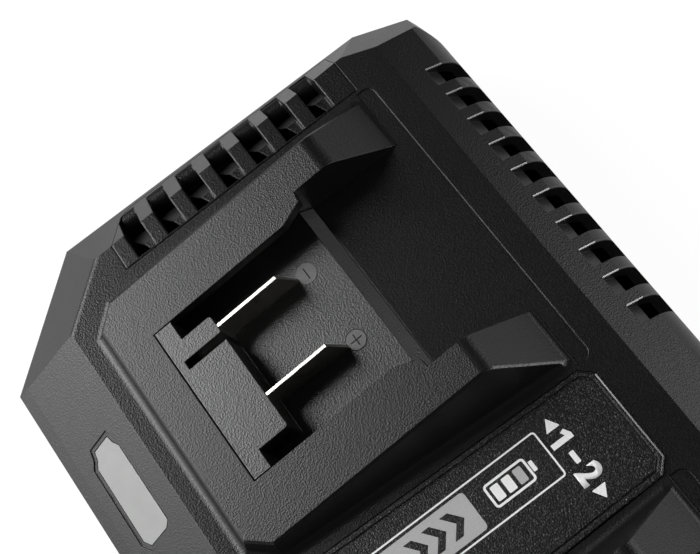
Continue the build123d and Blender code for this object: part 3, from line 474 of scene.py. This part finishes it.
def level_band():
    """A long frame with a grey field of arrow heads, and a cell with three level bars."""
    frame_line = outline_block(band_middle, band_size, band_corner, band_line)
    cell = outline_block(cell_middle, cell_size, cell_corner, cell_line)
    cap = flat_block((cell_middle[0], cell_middle[1] + cell_size[1] / 2 + 0.9), (3.2, 1.2), 0.3)
    bars = [level_bar(step) for step in bar_steps[:2]]
    printed("band_lines", [frame_line, cell, cap, *bars], light_ink)
    field_size = (band_size[0] - 2 * field_margin, field_y[1] - field_y[0])
    field = flat_block((band_middle[0], sum(field_y) / 2), field_size, 1.2)
    printed("band_field", [field, level_bar(bar_steps[2])], grey_ink)
    heads = [chevron((band_middle[0], y), head_size, head_reach) for y in range(-38, 1, 6)]
    printed("band_arrows", heads, finishes["plate"], thickness=0.08)


def bay_numbers():
    """The bays' numbers, each with an arrow head towards its bay."""
    row = numbers_y
    pieces = [outline_shape("one", [(-5.2 + x, row + y) for x, y in figure_one]),
              numeral("2", (6.2, row), 6.6),
              triangle((-10.3, row), 2.5, math.radians(90.0)),
              triangle((11.5, row), 2.5, math.radians(-90.0)),
              flat_block((0.3, row), (3.8, 1.5), 0.3)]
    printed("bay_numbers", pieces, light_ink)


level_band()
bay_numbers()

# ---------------------------------------------------------------- thin trim on the housing
# y and z of a slot's edge
lip_path = [(72.1, 50.25), (77.5, 47.5), (79.0, 46.2), (80.3, 44.6), (81.4, 42.8), (82.3, 40.9)]
# across from the slot's edge, and up from it
lip_section = [(-0.8, -0.12), (-0.45, 0.24), (0.03, -0.12), (-0.3, -0.3)]
lip_up = Vector((0.0, 0.46, 0.89))
vent_pitch = 10.5
vent_count = 10                     # in each half
vent_edges = (-119.5, 113.15 - (vent_count - 1) * vent_pitch)    # first slot's edge in each half
# the plate's back edge with its cut corners, and the bead's section from it
bead_corners = [(-17.8, 49.87), (-14.18, 53.5), (14.18, 53.5), (17.8, 49.87)]
bead_section = [(0.0, -0.5, -0.03), (0.0, -0.05, 0.2), (0.0, 0.0, -0.1), (0.0, -0.3, -0.15)]


def trim(name, strips):
    """Smooth thin strips as one piece, in the lighter black whose colour adds painted highlight."""
    whole = joined(name, strips)
    whole.data.materials.clear()
    whole.data.materials.append(trim_plastic_with_painted_highlight)
    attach(whole, "root")


def vent_lips():
    """A fine raised lip along one edge of every rear vent."""
    section = [Vector((out, 0.0, 0.0)) + lip_up * rise for out, rise in lip_section]
    lip = swept("vent_lip", section, [(vent_edges[0], y, z) for y, z in lip_path])
    lips = []
    for first in vent_edges:
        for number in range(vent_count):
            copy = lip.copy()
            copy.data = lip.data.copy()
            copy.location.x = (first - vent_edges[0] + number * vent_pitch) * mm
            bpy.context.scene.collection.objects.link(copy)
            lips.append(copy)
    bpy.data.objects.remove(lip)
    trim("vent_lips", lips)


def plate_bead():
    """A fine bead along the back edge of the label plate and its cut corners."""
    path = [(x, y, plate_top) for x, y in bead_corners]
    trim("plate_bead", [swept("bead", bead_section, path)])


plate_bead()
vent_lips()

# ---------------------------------------------------------------- polarity marks in the bays
mark_radius = 3.2
mark_depth = 0.5
mark_along = 43.8                   # from the front of the channel
mark_rise = 0.12                    # above the floor
sign_reach = 1.9
sign_width = 0.36
sign_height = 0.16


def bay_spot(side, across, along, above_floor):
    """A place in a bay, in metres: across it, along it, and above its floor."""
    drop = floor_drop - above_floor
    y = bay_front[0] + along * math.cos(bay_tilt) + drop * math.sin(bay_tilt)
    z = bay_front[1] + along * math.sin(bay_tilt) - drop * math.cos(bay_tilt)
    return Vector((side * bay_x + across, y, z)) * mm


def sign_bar(side, across, size):
    """One raised stroke of a polarity sign."""
    start_piece()
    place = bay_spot(side, across, mark_along, mark_rise)
    bpy.ops.mesh.primitive_cube_add(size=1.0, location=place, rotation=(bay_tilt, 0.0, 0.0))
    bar = bpy.context.object
    bar.data.materials.append(sign_colour_and_painted_groove_shade)
    bar.scale = (size[0] * mm, size[1] * mm, sign_height * mm)
    bpy.ops.object.transform_apply(location=False, rotation=False, scale=True)
    in_edit(lambda: bpy.ops.mesh.bevel(offset=0.06 * mm, segments=2, affect="EDGES"))
    return bar


def polarity_mark(name, side, pole):
    """A round pad in the bay's floor, with a near-black ring painted as the shade of its shallow
    groove, and a raised plus or minus.
    """
    across = blade_x[pole]
    place = bay_spot(side, across, mark_along, mark_rise - mark_depth / 2)
    start_piece()
    bpy.ops.mesh.primitive_cylinder_add(vertices=72, radius=mark_radius * mm,
                                        depth=mark_depth * mm, location=place,
                                        rotation=(bay_tilt, 0.0, 0.0))
    disc = bpy.context.object
    disc.data.materials.append(disc_plastic)
    disc.data.materials.append(sign_colour_and_painted_groove_shade)
    for face in disc.data.polygons:
        face.select = face.normal.z > 0.9
    bpy.ops.object.mode_set(mode="EDIT")
    bpy.ops.mesh.select_mode(type="FACE")
    # The top face and the rings the insets make from it get the near-black, painted shade of a
    # groove only 0.06 mm deep; the middle gets the pad's plastic again.
    disc.active_material_index = 1
    bpy.ops.object.material_slot_assign()
    bpy.ops.mesh.inset(thickness=0.22 * mm, depth=-0.06 * mm)
    bpy.ops.mesh.inset(thickness=0.05 * mm, depth=0.06 * mm)
    disc.active_material_index = 0
    bpy.ops.object.material_slot_assign()
    bpy.ops.object.mode_set(mode="OBJECT")
    strokes = [sign_bar(side, across, (2 * sign_reach, sign_width))]
    if pole == "positive":
        strokes.append(sign_bar(side, across, (sign_width, 2 * sign_reach)))
    mark = joined(name, [disc, *strokes])
    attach(mark, "root")


for side_name, side in sides.items():
    for pole in blade_x:
        polarity_mark(f"{pole}_mark_{side_name}", side, pole)

# ---------------------------------------------------------------- camera
camera_data = bpy.data.cameras.new("camera")
camera_data.sensor_width = 36.0
camera_data.lens = 82.286           # 1600 px in a picture 700 px wide
camera = bpy.data.objects.new("camera", camera_data)
bpy.context.scene.collection.objects.link(camera)
right = Vector((0.5612, 0.7979, -0.2198))
up = Vector((-0.7300, 0.6024, 0.3227))
back = Vector((0.3899, -0.0206, 0.9206))
turn = Matrix((right, up, back)).transposed().to_4x4()
camera.matrix_world = Matrix.Translation((0.0967, 0.0078, 0.4706)) @ turn
bpy.context.scene.camera = camera

# ---------------------------------------------------------------- floor and background
# Camera and transmission rays see a white background. Glossy rays see less than that, so that the
# black plastic stays dark: a share of the floor's white, and a world with one bright band that is
# dark at the charger's ends and overhead. Metal therefore shows less of the background than it
# would in a white room.
camera_share = 0.8                  # of the floor's white, for camera and transmission rays
gloss_share = 0.35                  # of the floor's white, for glossy rays
floor_white = 1.19
floor_side = 6.0
fill_light = 0.12                   # the world's light on the object
band_centre = -0.05                 # of the direction along X
band_fades = (0.1, 0.55)
dark_ends = 0.05
ceiling_fades = (0.05, 0.45)        # of the direction along Z
dark_ceiling = 0.015

start_piece()
bpy.ops.mesh.primitive_plane_add(size=floor_side, location=(0.0, 0.0, 0.0))
floor = bpy.context.object
floor.name = "floor"

pale = Finish("pale_floor", grey(0.4), 0.8)
through = pale.ray("Is Transmission Ray")
seen = camera_share * pale.ray("Is Camera Ray").math("MAXIMUM", through)
white_part = seen + gloss_share * pale.ray("Is Glossy Ray")
white = pale.node("ShaderNodeEmission", values={"Strength": floor_white})
lit = Value(pale, pale.shader.outputs[0])
pale.finish_with("Material Output", pale.blend(white_part, lit, white))
floor.data.materials.append(pale.material)

world = bpy.data.worlds.new("studio")
bpy.context.scene.world = world
world.use_nodes = True
sky = Shading(world.node_tree)


def backdrop(strength):
    """White light from the world, of the given strength."""
    return sky.node("ShaderNodeBackground",
                    values={"Color": (1.0, 1.0, 1.0, 1.0), "Strength": strength})


def toward(axis):
    """Part of the ray's direction along X, Y or Z."""
    direction = sky.node("ShaderNodeTexCoord")
    return sky.node("ShaderNodeSeparateXYZ", values={0: direction}, output=axis)


horizon = sky.range((toward(0) - band_centre).abs(), *band_fades, 1.0, dark_ends)
ceiling = sky.range(toward(2), *ceiling_fades, 0.0, 1.0)
mirrored = sky.blend(ceiling, backdrop(horizon), backdrop(dark_ceiling))
unseen = sky.blend(sky.ray("Is Glossy Ray"), backdrop(fill_light), mirrored)
white_rays = sky.ray("Is Camera Ray").math("MAXIMUM", sky.ray("Is Transmission Ray"))
sky.finish_with("World Output", sky.blend(white_rays, unseen, backdrop(1.0)))


# ---------------------------------------------------------------- lamps
lamp_distance = 1.3                 # from the charger, in metres


def soft_box(name, direction, size, radiance):
    """An area lamp that faces the charger, its second side turned as near to Y as it can be."""
    data = bpy.data.lights.new(name, "AREA")
    data.shape = "RECTANGLE"
    data.size, data.size_y = size
    data.energy = radiance * math.pi * size[0] * size[1]
    lamp = bpy.data.objects.new(name, data)
    bpy.context.scene.collection.objects.link(lamp)
    away = Vector(direction).normalized()
    level = (Vector((0.0, 1.0, 0.0)) - away * away.y).normalized()
    turn = Matrix((level.cross(away), level, away)).transposed().to_4x4()
    lamp.matrix_world = Matrix.Translation(away * lamp_distance) @ turn


soft_box("overhead", (-0.57, -0.55, 0.61), (0.85, 0.88), 7.8)
soft_box("front_panel", (-0.44, -0.86, 0.25), (0.8, 0.5), 2.0)
soft_box("rear_panel", (0.10, 0.88, 0.46), (1.1, 0.5), 2.4)
soft_box("rim_light", (0.65, 0.72, 0.32), (0.3, 0.3), 15.0)

bpy.context.scene.view_settings.view_transform = "Standard"
